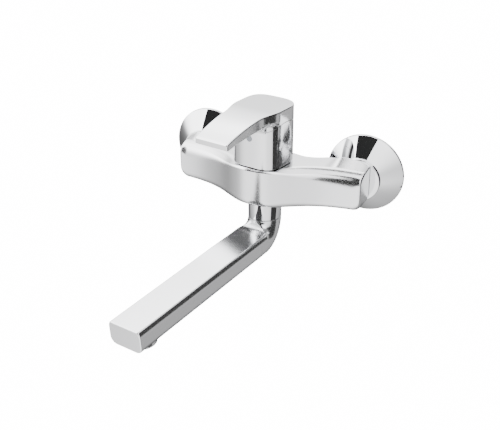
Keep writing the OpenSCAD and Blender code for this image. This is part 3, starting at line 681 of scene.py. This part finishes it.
# %% [markdown]
# ## Collar nut and aerator
# Both are turned pieces, so they are spun from their profiles, with small rounded edges that catch the light.

# %% Collar nut and aerator housing
def turned_piece(node, body, profile, radii, place_at):
    """Spins a profile of (radius, height) about the upright axis of a turned frame."""
    centre = place_at(0, 0.0, 0)
    side = (place_at(1, 0.0, 0) - centre).normalized()
    lift = (place_at(0, 0.0, 1) - centre).normalized()
    points = [(r * MM, h * MM) for r, h in round_corners(profile, radii, steps=4)]
    bm = bmesh.new()
    spin(bm, points, centre, lift, side, steps=96)
    add_piece(node + "_skin", bm, body, node, weighted=False)


outlet_from_end = 17.5
outlet = bar_length - outlet_from_end


def on_outlet(n, s, z):
    return on_bar(n, outlet + s, spout_t - z)


turned_piece("spout_collar_nut", "tap_body",
             [(9.4, -37.0), (14.5, -37.0), (14.5, -19.5), (12.1, -19.5), (12.1, -34.5), (9.4, -34.5)],
             (0, 0.5, 0.4, 0, 0, 0), on_spout)
turned_piece("aerator_housing", "spout",
             [(9.6, 8.0), (9.6, -1.8), (8.6, -1.8), (8.6, -3.4),
              (12.0, -3.4), (12.0, 0.0), (11.0, 0.0), (11.0, 8.0)],
             (0, 0, 0, 0.3, 0.6, 0.2, 0, 0), on_outlet)

# %% [markdown]
# ## Finishes on every piece
# Each solid that still shows takes the finish that the record gives it. The skins are all chrome, in one of
# its three degrees of softness.

# %% Assign finishes
softer = {"body_skin": "satin_chrome", "spout_skin": "satin_chrome",
          "lever_skin": "soft_chrome", "cover_block_skin": "soft_chrome"}
slots = {part["node"]: part["material_slot"] for part in frame["record"]["subparts"]}
for name, node in frame["nodes"].items():
    node.data.materials.clear()
    node.data.materials.append(finishes[slots[name]])
for piece in bpy.data.objects:
    if piece.type == "MESH" and piece.name.endswith("_skin"):
        piece.data.materials.clear()
        piece.data.materials.append(finishes[softer.get(piece.name, "chrome")])

# %% [markdown]
# ## Studio
# Chrome shows only what stands round it, so the studio is drawn for the mirror. The sky is a soft glow with
# brighter areas at the left, behind, above and in front, and darker areas that shade the lower sides and the
# outlines. Black cards far away give the dark wedges on the covers and the dark lines along the edges. The
# camera itself sees only white and the floor, a plain light table below the tap that chrome doesn't mirror.

# %% Floor
floor_half, floor_z, floor_glow = 6, -0.45, 14.0
floor_bm = bmesh.new()
bmesh.ops.create_grid(floor_bm, x_segments=1, y_segments=1, size=floor_half)
bmesh.ops.translate(floor_bm, verts=floor_bm.verts, vec=(0, 0, floor_z))
floor = add_object("floor", floor_bm)
floor_finish = new_material("pale_floor", (0.95, 0.95, 0.95), 0.0, 0.8, 2.0, 0.05, scale=3.0)
floor_shader = floor_finish.node_tree.nodes["Principled BSDF"]
floor_shader.inputs["Emission Color"].default_value = (1, 1, 1, 1)
floor_shader.inputs["Emission Strength"].default_value = floor_glow
floor.data.materials.append(floor_finish)
floor.visible_glossy = False
floor.visible_diffuse = False


# %% Light from all round
def aim(azimuth, elevation):
    """Direction from the tap; azimuth 0 is straight out of the wall, positive to the right."""
    a, e = math.radians(azimuth), math.radians(elevation)
    return Vector((math.sin(a) * math.cos(e), -math.cos(a) * math.cos(e), math.sin(e)))


world = bpy.data.worlds.new("studio")
bpy.context.scene.world = world
world.use_nodes = True
sky_nodes, sky_links = world.node_tree.nodes, world.node_tree.links
way = sky_nodes.new("ShaderNodeTexCoord")


def lobe(direction, inner, outer, low, high):
    """High within the inner angle of a direction, low beyond the outer angle, and smooth between."""
    dot = sky_nodes.new("ShaderNodeVectorMath")
    dot.operation = "DOT_PRODUCT"
    sky_links.new(way.outputs["Generated"], dot.inputs[0])
    dot.inputs[1].default_value = direction
    step = sky_nodes.new("ShaderNodeMapRange")
    step.interpolation_type = "SMOOTHSTEP"
    values = (math.cos(math.radians(outer)), math.cos(math.radians(inner)), low, high)
    for key, value in zip(("From Min", "From Max", "To Min", "To Max"), values):
        step.inputs[key].default_value = value
    sky_links.new(dot.outputs["Value"], step.inputs["Value"])
    return step.outputs["Result"]


def join(kind, a, b):
    """A Math node of two values, each a number or another node's output."""
    node = sky_nodes.new("ShaderNodeMath")
    node.operation = kind
    for socket, value in zip(node.inputs, (a, b)):
        if isinstance(value, (int, float)):
            socket.default_value = value
        else:
            sky_links.new(value, socket)
    return node.outputs[0]


# Each area has a direction, its inner and outer angle, and the glow it adds or the share it keeps.
even_glow = 1.35
bright_areas = (
    (aim(-70, 35), 12, 50, 4.5),
    (aim(-140, 55), 4, 24, 3.6),
    (aim(-157, 26), 8, 28, 3.0),
    (aim(10, 40), 10, 60, 1.7),
    (aim(100, 65), 10, 50, 1.6),
    (aim(10, -35), 10, 60, 0.7),
    (aim(-26, -34), 10, 45, 0.6),
)
dark_areas = (
    (aim(112, -54), 10, 50, 0.42),
    (aim(-110, -8), 6, 26, 0.35),
    (aim(135, 35), 8, 30, 0.6),
    (aim(130, 0), 5, 35, 0.5),
    (aim(-154, -30), 20, 72, 0.1),
    (aim(-80, -26), 6, 34, 0.6),
)
mirror_glow = even_glow
for direction, inner, outer, gain in bright_areas:
    mirror_glow = join("ADD", mirror_glow, lobe(direction, inner, outer, 0.0, gain))
for direction, inner, outer, share in dark_areas:
    mirror_glow = join("MULTIPLY", mirror_glow, lobe(direction, inner, outer, 1.0, share))

diffuse_glow, camera_glow = 2.0, 12.0
rays = sky_nodes.new("ShaderNodeLightPath")
strength = sky_nodes.new("ShaderNodeMix")
background = sky_nodes["Background"]
other_glow = join("ADD", diffuse_glow, join("MULTIPLY", rays.outputs["Is Camera Ray"], camera_glow))
sky_links.new(other_glow, strength.inputs["A"])
sky_links.new(mirror_glow, strength.inputs["B"])
sky_links.new(rays.outputs["Is Glossy Ray"], strength.inputs["Factor"])
sky_links.new(strength.outputs["Result"], background.inputs["Strength"])
background.inputs["Color"].default_value = (1, 1, 1, 1)


# %% Cards
card_distance = 8.0
card_shade = (0.01, 0.01, 0.01)


def far_card(name, corners):
    """A flat dark card that only the chrome sees; its corners are (azimuth, elevation) round its edge."""
    bm = bmesh.new()
    bm.faces.new([bm.verts.new(aim(a, e) * card_distance) for a, e in corners])
    board = add_object(name, bm)
    board.data.materials.append(new_material(name, card_shade, 0.0, 0.9, 2.0, 0.02, scale=4.0))
    board.visible_camera = False
    board.visible_diffuse = False
    board.visible_shadow = False


far_card("front_card", [(-34, -10), (5, -10), (4, 45), (-50, 45)])
far_card("low_card", [(5, -10), (29, -10), (24, 16), (4, 26)])
far_card("overhead_card", [(-50, 45), (4, 45), (12, 57), (-80, 57)])
far_card("roof_card", [(-80, 57), (12, 57), (35, 70), (-110, 70)])
far_card("ridge_card", [(-170, 50), (-135, 50), (-135, 68), (-170, 68)])
far_card("side_card", [(67, -38), (108, -37), (114, -18), (145, -17), (145, 40), (67, 40)])
